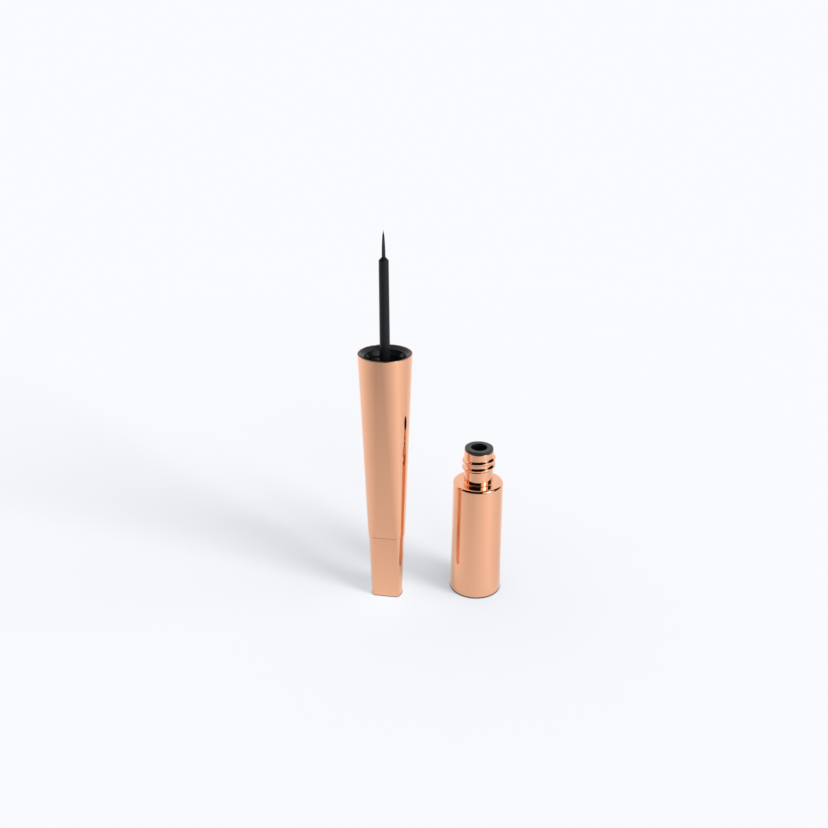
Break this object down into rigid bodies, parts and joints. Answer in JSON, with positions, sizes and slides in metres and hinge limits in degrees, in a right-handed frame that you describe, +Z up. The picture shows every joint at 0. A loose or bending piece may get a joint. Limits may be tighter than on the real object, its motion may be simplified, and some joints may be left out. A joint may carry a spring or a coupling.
{
  "type": "liquid eyeliner pen",
  "caption": "Liquid eyeliner opened for use: screw-neck bottle with wiper, and a flat-fronted tapered handle standing mouth up with its applicator stem and fine brush.",
  "frame": {"origin": "centre of the bottle's flat foot, on the table", "axes": "+Z up along the bottle's axis; +X to the right as the picture shows the pair, so the handle stands towards -X; +Y away from the viewer"},
  "size_m": [0.0408, 0.0168, 0.1068],
  "materials": {
    "rose_gold": "moulded plastic, vacuum metallised and lacquered in rose gold, mirror gloss",
    "black_gloss": "moulded polyethylene or polypropylene, glossy black",
    "black_satin": "moulded polypropylene, satin black",
    "liquid_liner": "wet black liquid",
    "washer_foam": "closed-cell foam, dark grey",
    "ferrule_plastic": "moulded acetal, natural grey",
    "black_nylon": "fine black nylon filaments, dampened to a point"
  },
  "bodies": {
    "bottle": {"bottle": "rose_gold", "wiper": "black_gloss", "liner_fluid": "liquid_liner"},
    "handle": {"handle_shell": "rose_gold", "handle_end_piece": "rose_gold", "inner_cap": "black_gloss", "sealing_washer": "washer_foam", "applicator_stem": "black_satin", "brush_ferrule": "ferrule_plastic"},
    "brush": {"brush_tuft": "black_nylon"}
  },
  "joints": [
    {"name": "cap_lift", "type": "slide", "parent": "bottle", "child": "handle", "axis": [0, 0, 1], "range_m": [0, 0.06]},
    {"name": "brush_flex", "type": "hinge", "parent": "handle", "child": "brush", "pos_m": [-0.026, -0.0021, 0.1], "axis": [0, 1, 0], "range_deg": [-20, 20], "stiffness_Nm_per_rad": 0.0003}
  ]
}
